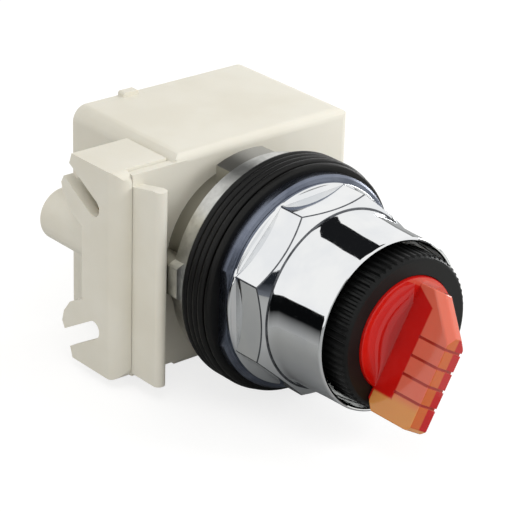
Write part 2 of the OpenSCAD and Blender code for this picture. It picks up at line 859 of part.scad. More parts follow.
module terminal_screws() {
    color([0.75, 0.75, 0.76])
    at_terminals() difference() {
        union() {
            rod_y(2.8, 1.22, 1.7);
            rod_y(screw_r, -0.9, 2.2);
        }
        translate([-3, 2.2, -0.35]) cube([6, 2, 0.7]);
        translate([-0.35, 2.2, -3]) cube([0.7, 2, 6]);
    }
}

module module_screws() {
    color([0.74, 0.74, 0.75])
    for (s = [-1, 1]) translate([s * lug_x, 0, s * -lug_z]) difference() {
        union() {
            rod_y(screw_r, screw_tip_y, screw_seat_y - screw_tip_y + 0.1);
            rod_y(screw_head_r, screw_seat_y + 0.02, screw_head_t);
        }
        translate([-screw_head_r, screw_seat_y + screw_head_t - 1, -0.4]) cube([2 * screw_head_r, 2, 0.8]);
        translate([-0.4, screw_seat_y + screw_head_t - 1, -screw_head_r]) cube([0.8, 2, 2 * screw_head_r]);
    }
}

module at_core() {
    translate([core_mid_x, core_mid_y, 0]) children();
}

module transformer_core() {
    color([0.45, 0.46, 0.48])
    at_core() slab(-core_stack / 2, core_stack) difference() {
        square([core_w, core_h], center = true);
        for (s = [-1, 1]) translate([s * (core_leg + window_w) / 2, 0])
            square([window_w, window_h], center = true);
    }
}

// Ring of rounded rectangle round the centre leg, between two heights
module leg_ring(inner, build, low, high) {
    w = core_leg + 2 * inner;
    d = core_stack + 2 * inner;
    translate([0, 0, low]) linear_extrude(high - low) difference() {
        round_rect(w + 2 * build, d + 2 * build, build);
        square([w, d], center = true);
    }
}

module coil_bobbin() {
    color([0.85, 0.84, 0.8])
    at_core() {
        leg_ring(0.1, bobbin_wall, -bobbin_half, bobbin_half);
        for (z = [-bobbin_half, -cheek_t / 2, bobbin_half - cheek_t])
            leg_ring(0.1, cheek_reach, z, z + cheek_t);
    }
}

module primary_coil() {
    color([0.72, 0.42, 0.2])
    at_core() leg_ring(0.1 + bobbin_wall + coil_gap, coil_build - 0.6, 0.55, window_h / 2 - 1.1);
}

module secondary_coil() {
    color([0.78, 0.5, 0.26])
    at_core() leg_ring(0.1 + bobbin_wall + coil_gap, coil_build - 1, -window_h / 2 + 1.1, -0.55);
}

module lamp_leads() {
    start_y = front_y + front_wall - 0.3;
    color([0.8, 0.68, 0.4])
    for (s = [-1, 1]) translate([s * lamp_lead_x, 0, 0]) rod_y(lead_r, start_y, cheek_front_y - 0.03 - start_y);
}

// From each terminal clamp through the housing wall, then down or up to the winding bobbin
module supply_leads() {
    start_x = pocket_x + clamp_w / 2 + 0.02;
    bobbin_top_z = bobbin_half + 0.02;
    color([0.8, 0.68, 0.4])
    for (s = [0, 1]) mirror([0, 0, s]) {
        translate([start_x, lead_y, lead_z]) rotate([0, 90, 0])
            cylinder(r = lead_r, h = core_mid_x - start_x, $fn = 32);
        translate([core_mid_x, lead_y, bobbin_top_z]) cylinder(r = lead_r, h = lead_z - bobbin_top_z, $fn = 32);
        translate([core_mid_x, lead_y, lead_z]) sphere(r = lead_r, $fn = 32);
    }
}

knob_lens();
bezel_ring();
turning_sleeve();
sleeve_clip();
actuator_cam();
detent_spring();
operator_body();
shaft_seal();
ring_nut();
thrust_washer();
gasket(1);  // gasket_1
gasket(2);  // gasket_2
gasket(3);  // gasket_3
gasket(4);  // gasket_4
gasket(5);  // gasket_5
locating_washer();
rod_guide();
left_rod();
right_rod();
left_rod_spring();
right_rod_spring();
lamp_glass();
lamp_cap();
lamp_filament();
lamp_holder();
socket_shell();
socket_contact();
contact_spring();
module_housing();
back_cover();
terminal_block();
terminal_clamps();
terminal_screws();
module_screws();
transformer_core();
coil_bobbin();
primary_coil();
secondary_coil();
lamp_leads();
supply_leads();
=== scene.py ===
"""Looks of an illuminated selector switch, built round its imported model.

The operator axis lies along Y: the red knob faces -Y, the ivory lamp module is behind it at +Y,
and up is +Z. Every size below is in millimetres and is turned to metres where a mesh is made.
"""

import json
import logging
import math
from collections.abc import Callable, Sequence
from dataclasses import dataclass, field
from enum import Enum
from typing import Any

import bmesh
import bpy
from mathutils import Matrix, Vector

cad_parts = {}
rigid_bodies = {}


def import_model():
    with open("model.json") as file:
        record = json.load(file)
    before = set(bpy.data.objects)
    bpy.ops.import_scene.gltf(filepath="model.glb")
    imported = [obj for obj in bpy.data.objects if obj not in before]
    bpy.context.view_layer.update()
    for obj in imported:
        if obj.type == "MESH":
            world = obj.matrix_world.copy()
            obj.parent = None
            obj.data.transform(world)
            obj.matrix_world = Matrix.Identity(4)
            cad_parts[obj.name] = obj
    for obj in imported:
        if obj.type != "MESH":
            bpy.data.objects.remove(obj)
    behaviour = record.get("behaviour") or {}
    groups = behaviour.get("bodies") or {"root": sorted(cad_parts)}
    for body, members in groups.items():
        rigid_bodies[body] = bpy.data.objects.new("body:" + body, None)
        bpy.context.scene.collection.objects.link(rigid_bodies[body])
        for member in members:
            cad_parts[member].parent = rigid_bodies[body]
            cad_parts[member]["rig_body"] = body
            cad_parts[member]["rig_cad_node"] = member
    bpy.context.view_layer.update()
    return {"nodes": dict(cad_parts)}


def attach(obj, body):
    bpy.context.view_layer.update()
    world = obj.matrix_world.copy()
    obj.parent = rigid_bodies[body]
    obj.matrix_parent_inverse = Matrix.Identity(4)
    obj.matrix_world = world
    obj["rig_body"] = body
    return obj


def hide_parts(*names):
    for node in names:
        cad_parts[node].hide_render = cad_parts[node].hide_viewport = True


MM = 0.001

WELD_MM = 0.0002
COPY_WELD_MM = 0.0005
FLAT_FACE_WEIGHT = 80

Tree = bpy.types.NodeTree
Socket = bpy.types.NodeSocket
Sockets = bpy.types.bpy_prop_collection
Outline = Sequence[tuple[float, float]]

log = logging.getLogger("selector_switch")


# ---------------------------------------------------------------- shader nodes


def srgb(code: str) -> tuple[float, float, float, float]:
    """Turns an sRGB hex colour to the linear colour that a socket takes.

    Args:
        code: Six hex digits, with or without a leading hash.

    Returns:
        Linear red, green, blue and an alpha of one.
    """
    digits = code.lstrip("#")
    linear = []
    for start in (0, 2, 4):
        value = int(digits[start : start + 2], 16) / 255
        linear.append(value / 12.92 if value <= 0.04045 else ((value + 0.055) / 1.055) ** 2.4)
    return (linear[0], linear[1], linear[2], 1.0)


def per_metre(size_mm: float) -> float:
    """Returns the scale that gives a pattern features of this size, in millimetres."""
    return 1.0 / (size_mm * MM)


def add_node(
    tree: Tree,
    kind: str,
    inputs: dict[str | int, Any] | None = None,
    **settings: Any,
) -> bpy.types.Node:
    """Adds one shader node with its settings, values and links.

    Args:
        tree: The node tree that takes the node.
        kind: Blender's name for the kind of node.
        inputs: A value, or another node's output, for each input by name or number.
        **settings: Attributes set on the node itself.

    Returns:
        The new node.
    """
    node = tree.nodes.new(kind)
    for name, value in settings.items():
        setattr(node, name, value)
    for key, value in (inputs or {}).items():
        socket = node.inputs[key]
        if isinstance(value, Socket):
            tree.links.new(value, socket)
        else:
            socket.default_value = value
    return node


def maths(tree: Tree, how: str, *values: Any) -> Socket:
    """Returns the result of one operation on these values and outputs."""
    return add_node(tree, "ShaderNodeMath", dict(enumerate(values)), operation=how).outputs[0]


def noise(
    tree: Tree, place: Socket, size_mm: float, detail: float, roughness: float = 0.5
) -> Socket:
    """Adds a noise pattern.

    Args:
        tree: The node tree.
        place: Where on the piece the pattern is read.
        size_mm: Width of its features.
        detail: Number of finer layers in it.
        roughness: How strong the finer layers are.

    Returns:
        The value of the pattern.
    """
    inputs = {
        "Vector": place,
        "Scale": per_metre(size_mm),
        "Detail": detail,
        "Roughness": roughness,
    }
    return add_node(tree, "ShaderNodeTexNoise", inputs).outputs["Fac"]


def emboss(
    tree: Tree, shader: bpy.types.Node, height: Socket, strength: float, depth_mm: float
) -> None:
    """Presses a pattern into the surface.

    Args:
        tree: The node tree.
        shader: The shader that takes the relief.
        height: The pattern.
        strength: Share of the relief that shows.
        depth_mm: Depth of the relief.
    """
    inputs = {"Strength": strength, "Distance": depth_mm * MM, "Height": height}
    bump = add_node(tree, "ShaderNodeBump", inputs)
    tree.links.new(bump.outputs["Normal"], shader.inputs["Normal"])


def empty_tree(owner: bpy.types.Material | bpy.types.World) -> Tree:
    """Gives a material or a world nodes of its own, with none in them yet.

    Args:
        owner: The material or world.

    Returns:
        Its node tree.
    """
    owner.use_nodes = True
    owner.node_tree.nodes.clear()
    return owner.node_tree


class Lay(Enum):
    """Which way the fine marks of a worked metal run."""

    NONE = "none"
    TURNED = "turned"
    DRAWN = "drawn"


@dataclass(frozen=True)
class Finish:
    """What every finish states: a name, its colours and how rough it is.

    Attributes:
        name: Name of the material.
        colour: Main colour as sRGB hex.
        second: Colour of the soft patches in it.
        roughness: Mean roughness of the surface.
        patch_mm: Width of the soft patches.
    """

    name: str
    colour: str
    second: str
    roughness: float
    patch_mm: float = 9.0

    def make(self) -> bpy.types.Material:
        """Builds the material with its own nodes.

        Returns:
            The finished material.
        """
        material = bpy.data.materials.new(self.name)
        tree = empty_tree(material)
        shader = add_node(tree, "ShaderNodeBsdfPrincipled", {"Roughness": self.roughness})
        add_node(tree, "ShaderNodeOutputMaterial", {"Surface": shader.outputs[0]})
        place = add_node(tree, "ShaderNodeTexCoord").outputs["Object"]
        self.dress(tree, shader, place)
        material.diffuse_color = srgb(self.colour)
        return material

    def dress(self, tree: Tree, shader: bpy.types.Node, place: Socket) -> None:
        """Adds the pattern of this finish. Each kind of finish has its own."""
        raise NotImplementedError

    def patches(self, tree: Tree, place: Socket) -> Socket:
        """Returns the main colour with soft patches of the second.

        Args:
            tree: The node tree.
            place: Where on the piece the pattern is read.

        Returns:
            The mottled colour.
        """
        cloud = noise(tree, place, self.patch_mm, 3.0, 0.55)
        ramp = add_node(
            tree,
            "ShaderNodeMapRange",
            {"Value": cloud, "From Min": 0.35, "From Max": 0.68},
            interpolation_type="SMOOTHSTEP",
        )
        return self.blend(tree, ramp.outputs["Result"], srgb(self.colour), srgb(self.second))

    @staticmethod
    def blend(
        tree: Tree,
        share: Socket,
        first: Any,
        second: Any,
    ) -> Socket:
        """Mixes two colours.

        Args:
            tree: The node tree.
            share: How much of the second colour shows, from nought to one.
            first: A colour or an output.
            second: A colour or an output.

        Returns:
            The mixed colour.
        """
        mix = add_node(tree, "ShaderNodeMix", data_type="RGBA")
        for socket, value in ((mix.inputs[0], share), (mix.inputs[6], first), (mix.inputs[7], second)):
            if isinstance(value, Socket):
                tree.links.new(value, socket)
            else:
                socket.default_value = value
        return mix.outputs[2]

    @staticmethod
    def vary(
        tree: Tree,
        source: Socket,
        middle: float,
        spread: float,
    ) -> Socket:
        """Maps a noise value to middle plus or minus spread.

        Args:
            tree: The node tree.
            source: The noise value.
            middle: The mean of the result.
            spread: How far it goes from the mean.

        Returns:
            The mapped value.
        """
        return add_node(
            tree,
            "ShaderNodeMapRange",
            {
                "Value": source,
                "From Min": 0.3,
                "From Max": 0.7,
                "To Min": middle - spread,
                "To Max": middle + spread,
            },
        ).outputs["Result"]


@dataclass(frozen=True)
class Moulded(Finish):
    """Injection-moulded plastic with the fine grain of a spark-worn mould.

    Attributes:
        grain_mm: Width of one grain of the mould's texture.
        depth_mm: Depth of that texture.
        gloss: Specular level of the skin.
        glow: How far light soaks in, as a share.
    """

    grain_mm: float = 0.25
    depth_mm: float = 0.012
    gloss: float = 0.5
    glow: float = 0.0

    def dress(self, tree: Tree, shader: bpy.types.Node, place: Socket) -> None:
        """Adds the colour patches, the grain and its change of roughness.

        Args:
            tree: The node tree.
            shader: The shader that takes the pattern.
            place: Where on the piece the pattern is read.
        """
        grain = noise(tree, place, self.grain_mm, 2.0, 0.6)
        uneven = self.vary(tree, grain, self.roughness, 0.06)
        tree.links.new(self.patches(tree, place), shader.inputs["Base Color"])
        tree.links.new(uneven, shader.inputs["Roughness"])
        emboss(tree, shader, grain, 0.6, self.depth_mm)
        shader.inputs["IOR"].default_value = 1.5
        shader.inputs["Specular IOR Level"].default_value = self.gloss
        if self.glow:
            shader.inputs["Subsurface Weight"].default_value = self.glow
            shader.inputs["Subsurface Radius"].default_value = (1.0, 0.8, 0.6)
            shader.inputs["Subsurface Scale"].default_value = 0.8 * MM


@dataclass(frozen=True)
class Rubber(Finish):
    """Moulded nitrile rubber: satin black, with pale specks of handling dust.

    Attributes:
        speck_mm: Spacing of the dust specks.
        dust: Colour of the dust.
    """

    speck_mm: float = 0.7
    dust: str = "#343432"

    def dress(self, tree: Tree, shader: bpy.types.Node, place: Socket) -> None:
        """Adds patches, dust specks and a soft uneven skin.

        Args:
            tree: The node tree.
            shader: The shader that takes the pattern.
            place: Where on the piece the pattern is read.
        """
        specks = noise(tree, place, self.speck_mm, 4.0, 0.7)
        dusty = add_node(
            tree,
            "ShaderNodeMapRange",
            {"Value": specks, "From Min": 0.62, "From Max": 0.78, "To Max": 0.5},
        )
        colour = self.blend(tree, dusty.outputs["Result"], self.patches(tree, place), srgb(self.dust))
        uneven = self.vary(tree, specks, self.roughness, 0.07)
        tree.links.new(colour, shader.inputs["Base Color"])
        tree.links.new(uneven, shader.inputs["Roughness"])
        emboss(tree, shader, specks, 0.5, 0.02)
        shader.inputs["IOR"].default_value = 1.52
        shader.inputs["Specular IOR Level"].default_value = 0.25


@dataclass(frozen=True)
class Metal(Finish):
    """Bare, plated or cast metal.

    Attributes:
        lay: Which way its working marks run.
        mark_mm: Spacing of the marks, or of the grain where there is no lay.
        depth_mm: Depth of the marks.
        spread: How much the roughness changes over the surface.
    """

    lay: Lay = Lay.NONE
    mark_mm: float = 0.3
    depth_mm: float = 0.002
    spread: float = 0.04

    def dress(self, tree: Tree, shader: bpy.types.Node, place: Socket) -> None:
        """Adds the metal's colour, its marks and the change of roughness they bring.

        Args:
            tree: The node tree.
            shader: The shader that takes the pattern.
            place: Where on the piece the pattern is read.
        """
        marks = noise(tree, self.along(tree, place), self.mark_mm, 3.0)
        uneven = self.vary(tree, marks, self.roughness, self.spread)
        tree.links.new(self.patches(tree, place), shader.inputs["Base Color"])
        tree.links.new(uneven, shader.inputs["Roughness"])
        emboss(tree, shader, marks, 0.5, self.depth_mm)
        shader.inputs["Metallic"].default_value = 1.0

    def along(self, tree: Tree, place: Socket) -> Socket:
        """Stretches the pattern along the marks: round the operator axis, or lengthwise.

        Args:
            tree: The node tree.
            place: Where on the piece the pattern is read.

        Returns:
            The stretched place.
        """
        if self.lay is Lay.NONE:
            return place
        if self.lay is Lay.DRAWN:
            return add_node(
                tree, "ShaderNodeMapping", {"Vector": place, "Scale": (1.0, 0.02, 1.0)}
            ).outputs["Vector"]
        apart = add_node(tree, "ShaderNodeSeparateXYZ", {"Vector": place})
        flat = add_node(
            tree,
            "ShaderNodeCombineXYZ",
            {"X": apart.outputs["X"], "Y": 0.0, "Z": apart.outputs["Z"]},
        )
        radius = add_node(
            tree, "ShaderNodeVectorMath", {0: flat.outputs["Vector"]}, operation="LENGTH"
        )
        return add_node(
            tree,
            "ShaderNodeCombineXYZ",
            {"X": radius.outputs["Value"], "Y": apart.outputs["Y"], "Z": 0.0},
        ).outputs["Vector"]


@dataclass(frozen=True)
class TurnedWithPaintedShade(Metal):
    """A casting that is turned bright as far as its shoulder and left as cast behind it, where its colour is
    darkened into painted shade between the ring and the housing.

    Attributes:
        cast: Colour of the part that is left as cast, darkened as painted shade.
        cast_from_mm: Y where that part begins.
    """

    # The as-cast colour, darkened into painted shade behind the ring.
    cast: str = "#A09E96"
    cast_from_mm: float = 4.5

    def patches(self, tree: Tree, place: Socket) -> Socket:
        """Returns the bright colour in front and the dull one behind, which is painted shade.

        Args:
            tree: The node tree.
            place: Where on the piece the pattern is read.

        Returns:
            The colour of the casting.
        """
        at = add_node(tree, "ShaderNodeSeparateXYZ", {"Vector": place}).outputs
        # The dull colour behind the shoulder is painted shade between the ring and the housing, as well as
        # the as-cast metal.
        behind = add_node(
            tree,
            "ShaderNodeMapRange",
            {
                "Value": at["Y"],
                "From Min": (self.cast_from_mm - 0.1) * MM,
                "From Max": (self.cast_from_mm + 0.1) * MM,
            },
        )
        bright = Finish.patches(self, tree, place)
        return self.blend(tree, behind.outputs["Result"], bright, srgb(self.cast))


@dataclass(frozen=True)
class Striped(Finish):
    """Stacked or wound metal: sheets of a core or turns of enamelled wire.

    Attributes:
        pitch_mm: Distance from one sheet or turn to the next.
        direction: Axis across the stripes, X, Y or Z.
        depth_mm: Depth of the groove between two of them.
    """

    pitch_mm: float = 0.5
    direction: str = "Z"
    depth_mm: float = 0.08

    def dress(self, tree: Tree, shader: bpy.types.Node, place: Socket) -> None:
        """Adds the stripes as colour and as relief.

        Args:
            tree: The node tree.
            shader: The shader that takes the pattern.
            place: Where on the piece the pattern is read.
        """
        wave_turn = math.tau / 20.0
        bands = add_node(
            tree,
            "ShaderNodeTexWave",
            {"Vector": place, "Scale": per_metre(self.pitch_mm) * wave_turn},
            wave_type="BANDS",
            bands_direction=self.direction,
        ).outputs["Fac"]
        groove = self.blend(tree, bands, srgb(self.second), self.patches(tree, place))
        tree.links.new(groove, shader.inputs["Base Color"])
        emboss(tree, shader, bands, 0.8, self.depth_mm)
        shader.inputs["Metallic"].default_value = 0.9


@dataclass(frozen=True)
class LampGlass(Finish):
    """Clear blown glass of a small lamp, with a faint ripple."""

    def dress(self, tree: Tree, shader: bpy.types.Node, place: Socket) -> None:
        """Adds the ripple and lets light through.

        Args:
            tree: The node tree.
            shader: The shader that takes the pattern.
            place: Where on the piece the pattern is read.
        """
        tree.links.new(self.patches(tree, place), shader.inputs["Base Color"])
        emboss(tree, shader, noise(tree, place, self.patch_mm, 1.0), 0.2, 0.02)
        shader.inputs["Transmission Weight"].default_value = 1.0
        shader.inputs["IOR"].default_value = 1.5


@dataclass(frozen=True)
class RedLens(Finish):
    """Clear red polycarbonate, moulded and glossy.

    The lever is hollow next to the disc and solid from there to its crest. Light gathers in the
    solid part, which looks salmon, and amber towards the tip; the hollow part stays deep red.
    That light is painted into the colour by place: painted glow on the solid part, painted
    refraction on the crest and painted shade in the grip grooves.

    Attributes:
        clear: Colour of the solid part near the axis: painted glow.
        amber: Colour of the solid part at the tip: painted glow.
        crest: Colour of the crest above the near side: painted refraction, orange.
        crest_far_painted_refraction: Colour of the crest above the far side: painted refraction, deep red.
        groove: Colour in the grip grooves: painted shade.
        seat_mm: Y of the disc's front face.
        solid_mm: Y where the hollow ends and the solid part begins.
        crest_mm: Y of the crest.
        lean_deg: Lever angle from straight down.
        edge_mm: Reach along the lever past which it is solid all through.
        roof_top_mm: Z, along the lever, where the roof leaves the crest.
        roof_foot_mm: Z, along the lever, where the roof meets the disc.
        pitch_mm: Distance from one groove to the next.
        first_mm: Reach of the first groove.
        skin_mm: Width of the faint waves in the skin.
    """

    # Painted glow: salmon and amber stand for light gathered in the solid lever.
    clear: str = "#D66A54"
    amber: str = "#D4904E"
    # Painted refraction: the crest is orange above the near side and deep red above the far side.
    crest: str = "#BE5E2C"
    crest_far_painted_refraction: str = "#B01418"
    # Painted shade in the grip grooves.
    groove: str = "#B4382A"
    seat_mm: float = -34.8
    solid_mm: float = -39.2
    crest_mm: float = -45.4
    lean_deg: float = 30.0
    edge_mm: float = 10.7
    roof_top_mm: float = 3.2
    roof_foot_mm: float = 9.1
    pitch_mm: float = 3.4
    first_mm: float = -0.9
    skin_mm: float = 2.5

    def dress(self, tree: Tree, shader: bpy.types.Node, place: Socket) -> None:
        """Paints the deep and the bright zones of the knob: painted glow, painted refraction and painted
        shade.

        Args:
            tree: The node tree.
            shader: The shader that takes the pattern.
            place: Where on the piece the pattern is read.
        """
        turned = add_node(
            tree,
            "ShaderNodeMapping",
            {"Vector": place, "Rotation": (0.0, math.radians(-self.lean_deg), 0.0)},
        )
        at = add_node(tree, "ShaderNodeSeparateXYZ", {"Vector": turned.outputs["Vector"]}).outputs
        solid = self.solid_share(tree, at)
        # Painted glow of the solid lever: salmon near the axis, amber towards the tip.
        tip = self.step(tree, at["Z"], -8.6, -11.2)
        bright = self.blend(tree, tip, srgb(self.clear), srgb(self.amber))
        # Painted refraction on the crest: orange above the near side, deep red above the far side.
        far = self.step(tree, at["X"], -0.1, 0.3)
        crest = self.blend(tree, far, srgb(self.crest), srgb(self.crest_far_painted_refraction))
        top = self.step(tree, at["Y"], self.crest_mm + 0.12, self.crest_mm + 0.04)
        bright = self.blend(tree, top, bright, crest)
        # Painted shade in the grip grooves.
        bright = self.blend(tree, self.groove_painted_shade_share(tree, at), bright, srgb(self.groove))
        # The painted light shows only where the lever is solid; the hollow part keeps the deep red.
        colour = self.blend(tree, solid, self.patches(tree, place), bright)
        tree.links.new(colour, shader.inputs["Base Color"])
        emboss(tree, shader, noise(tree, place, self.skin_mm, 2.0), 0.15, 0.02)
        shader.inputs["IOR"].default_value = 1.58
        shader.inputs["Specular IOR Level"].default_value = 0.35
        shader.inputs["Subsurface Weight"].default_value = 0.2
        shader.inputs["Subsurface Radius"].default_value = (1.0, 0.25, 0.15)
        shader.inputs["Subsurface Scale"].default_value = 1.0 * MM

    def solid_share(
        self, tree: Tree, at: Sockets
    ) -> Socket:
        """Returns one where the lever is solid and nought where it is hollow.

        Args:
            tree: The node tree.
            at: Place along the lever's own axes.

        Returns:
            The share of the painted glow of the solid part.
        """
        forward = self.step(tree, at["Y"], self.solid_mm + 0.2, self.solid_mm - 0.2)
        outward = self.step(tree, at["Z"], -self.edge_mm + 0.3, -self.edge_mm - 0.3)
        proud = self.step(tree, at["Y"], self.seat_mm + 0.1, self.seat_mm - 0.1)
        upward = self.step(tree, self.roof_height(tree, at), -0.6, -0.3)
        ends = maths(tree, "MAXIMUM", outward, upward)
        return maths(tree, "MAXIMUM", forward, maths(tree, "MULTIPLY", ends, proud))

    def roof_height(
        self, tree: Tree, at: Sockets
    ) -> Socket:
        """Returns how far a place is above the sloped roof that runs from the crest to the disc.

        Args:
            tree: The node tree.
            at: Place along the lever's own axes.

        Returns:
            The distance from the roof, in metres.
        """
        slope = Vector((self.crest_mm - self.seat_mm, self.roof_foot_mm - self.roof_top_mm))
        outward = Vector((-slope.y, -slope.x)).normalized()
        start = outward.x * self.crest_mm + outward.y * self.roof_top_mm
        forward = maths(tree, "MULTIPLY_ADD", at["Y"], outward.x, -start * MM)
        return maths(tree, "MULTIPLY_ADD", at["Z"], outward.y, forward)

    def groove_painted_shade_share(
        self, tree: Tree, at: Sockets
    ) -> Socket:
        """Returns one in the grip grooves, where shade is painted, and nought elsewhere.

        Args:
            tree: The node tree.
            at: Place along the lever's own axes.

        Returns:
            The share of the painted shade in the grooves.
        """
        half = self.pitch_mm / 2 * MM
        along = maths(tree, "ADD", at["Z"], self.first_mm * MM)
        away = maths(tree, "ABSOLUTE", maths(tree, "WRAP", along, half, -half))
        line = self.step(tree, away, 0.3, 0.16)
        before = self.step(tree, at["Z"], -11.0, -10.6)
        after = self.step(tree, at["Z"], 2.6, 2.2)
        return maths(tree, "MULTIPLY", line, maths(tree, "MULTIPLY", before, after))

    @staticmethod
    def step(
        tree: Tree,
        value: Socket,
        start_mm: float,
        end_mm: float,
    ) -> Socket:
        """Goes smoothly from nought to one along a place.

        Args:
            tree: The node tree.
            value: The place, in metres.
            start_mm: Where the result is nought, in millimetres.
            end_mm: Where the result is one, in millimetres.

        Returns:
            The share.
        """
        return add_node(
            tree,
            "ShaderNodeMapRange",
            {"Value": value, "From Min": start_mm * MM, "From Max": end_mm * MM},
            interpolation_type="SMOOTHSTEP",
        ).outputs["Result"]


# Polyamide, injection moulded: an ivory satin skin that scatters light a little.
IVORY = Moulded("ivory_polyamide", "#E6E3D8", "#E0DCCF", 0.46, 18.0, glow=0.08)
# Nylon, injection moulded: near black, with a dull sheen on the edges.
BLACK_NYLON = Moulded("black_nylon", "#0C0D0D", "#121313", 0.4, 6.0, grain_mm=0.2, gloss=0.22)
# Nitrile rubber, compression moulded: black, softer sheen than the nylon.
NITRILE = Rubber("nitrile_rubber", "#080807", "#0E0E0D", 0.42, 5.0)
# Zinc casting under bright nickel and chrome: a clean mirror with a faint polish haze.
CHROME = Metal("polished_chrome", "#EEEFEF", "#E6E8EA", 0.05, 8.0, mark_mm=0.9, depth_mm=0.0003, spread=0.02)
# The same plating on the rounded edges, made dull and dark: painted dark reflection along the edges.
CHROME_PAINTED_DARK_EDGE = Metal("chrome_painted_dark_edge", "#6E7074", "#4C4E52", 0.22, 1.5, mark_mm=0.4, depth_mm=0.002)
# Blued sheet steel, stamped: dark blue-grey and satin.
BLUED = Metal("blued_steel", "#7E8492", "#686E7C", 0.28, 4.0, lay=Lay.TURNED, mark_mm=0.25, depth_mm=0.003)
# Zinc, die cast: pale and turned in front, and a dull pebbled grey where it is left as cast, darkened into
# painted shade between the ring and the housing.
CAST_ZINC = TurnedWithPaintedShade("die_cast_zinc", "#D6D6D2", "#BDBDB9", 0.34, 3.0, mark_mm=0.35, depth_mm=0.012)
# Zinc plate on steel: pale silver, turned marks.
ZINC_PLATE = Metal("zinc_plated_steel", "#C8C9C6", "#B2B4B4", 0.3, 3.0, lay=Lay.TURNED, mark_mm=0.2)
# Spring wire and strip, drawn: bright with lengthwise marks.
SPRING_STEEL = Metal("drawn_spring_steel", "#BBBDC0", "#A8AAAE", 0.22, 2.0, lay=Lay.DRAWN, mark_mm=0.1)
# Brass, drawn and stamped: warm yellow.
BRASS = Metal("stamped_brass", "#D2B06A", "#BE9A55", 0.25, 2.5, lay=Lay.DRAWN, mark_mm=0.15)
# Tungsten wire, drawn: dark grey.
TUNGSTEN = Metal("drawn_tungsten", "#77777A", "#656569", 0.35, 1.0, lay=Lay.DRAWN, mark_mm=0.05)
# Acetal, injection moulded: white, waxy.
ACETAL = Moulded("white_acetal", "#E4E3DC", "#DCDBD2", 0.38, 6.0, glow=0.15)
# Nylon, injection moulded, undyed.
BOBBIN = Moulded("natural_nylon", "#D8D4C4", "#CFCAB8", 0.45, 6.0, glow=0.1)
# Enamelled copper wire, wound in layers.
COPPER = Striped("wound_copper", "#B8683A", "#6E3A1E", 0.3, 4.0, pitch_mm=0.35, direction="Z")
# Silicon steel sheets, stacked and varnished.
CORE = Striped("stacked_core_steel", "#6E7076", "#3C3E42", 0.45, 5.0, pitch_mm=0.5, direction="Y")
# Soda glass, blown.
GLASS = LampGlass("clear_lamp_glass", "#F4F7F8", "#EEF2F4", 0.02, 3.0)
# Polycarbonate, injection moulded and dyed red, with painted glow, painted refraction and painted groove
# shade on its lever.
LENS_RED = RedLens("red_polycarbonate", "#C4160F", "#BC120D", 0.1, 12.0)

NODE_FINISHES: dict[Finish, tuple[str, ...]] = {
    IVORY: ("module_housing", "back_cover", "terminal_block"),
    BLACK_NYLON: ("bezel_ring", "turning_sleeve", "rod_guide", "lamp_holder"),
    NITRILE: ("gasket_1", "gasket_2", "gasket_3", "gasket_4", "gasket_5", "shaft_seal"),
    CHROME: ("ring_nut",),
    BLUED: ("thrust_washer",),
    CAST_ZINC: ("operator_body",),
    ZINC_PLATE: ("locating_washer", "module_screws", "terminal_screws"),
    SPRING_STEEL: (
        "sleeve_clip",
        "detent_spring",
        "left_rod_spring",
        "right_rod_spring",
        "contact_spring",
    ),
    BRASS: (
        "lamp_cap",
        "socket_shell",
        "socket_contact",
        "terminal_clamps",
        "lamp_leads",
        "supply_leads",
    ),
    TUNGSTEN: ("lamp_filament",),
    ACETAL: ("actuator_cam", "left_rod", "right_rod"),
    BOBBIN: ("coil_bobbin",),
    COPPER: ("primary_coil", "secondary_coil"),
    CORE: ("transformer_core",),
    GLASS: ("lamp_glass",),
    LENS_RED: ("knob_lens",),
}


# ---------------------------------------------------------------- modelling steps


def nothing_selected() -> None:
    """Leaves every object unselected and none active."""
    if bpy.context.object and bpy.context.object.mode != "OBJECT":
        bpy.ops.object.mode_set(mode="OBJECT")
    bpy.ops.object.select_all(action="DESELECT")
    bpy.context.view_layer.objects.active = None


def take(piece: bpy.types.Object, *others: bpy.types.Object) -> None:
    """Selects these pieces and makes the first one active."""
    nothing_selected()
    for each in (piece, *others):
        each.select_set(True)
    bpy.context.view_layer.objects.active = piece


def named(name: str) -> bpy.types.Object:
    """Names the active object and its mesh, and puts its place into the mesh."""
    piece = bpy.context.object
    piece.name = name
    piece.data.name = name
    bpy.ops.object.transform_apply(location=True, rotation=True, scale=True)
    return piece


def select_edges(piece: bpy.types.Object, pick: Callable[[Any], bool]) -> None:
    """Selects, in edit mode, the edges that a test picks."""
    drawn = bmesh.from_edit_mesh(piece.data)
    for part in (drawn.verts, drawn.edges, drawn.faces):
        for each in part:
            each.select_set(False)
    for edge in drawn.edges:
        if pick(edge):
            edge.select_set(True)
    bmesh.update_edit_mesh(piece.data)


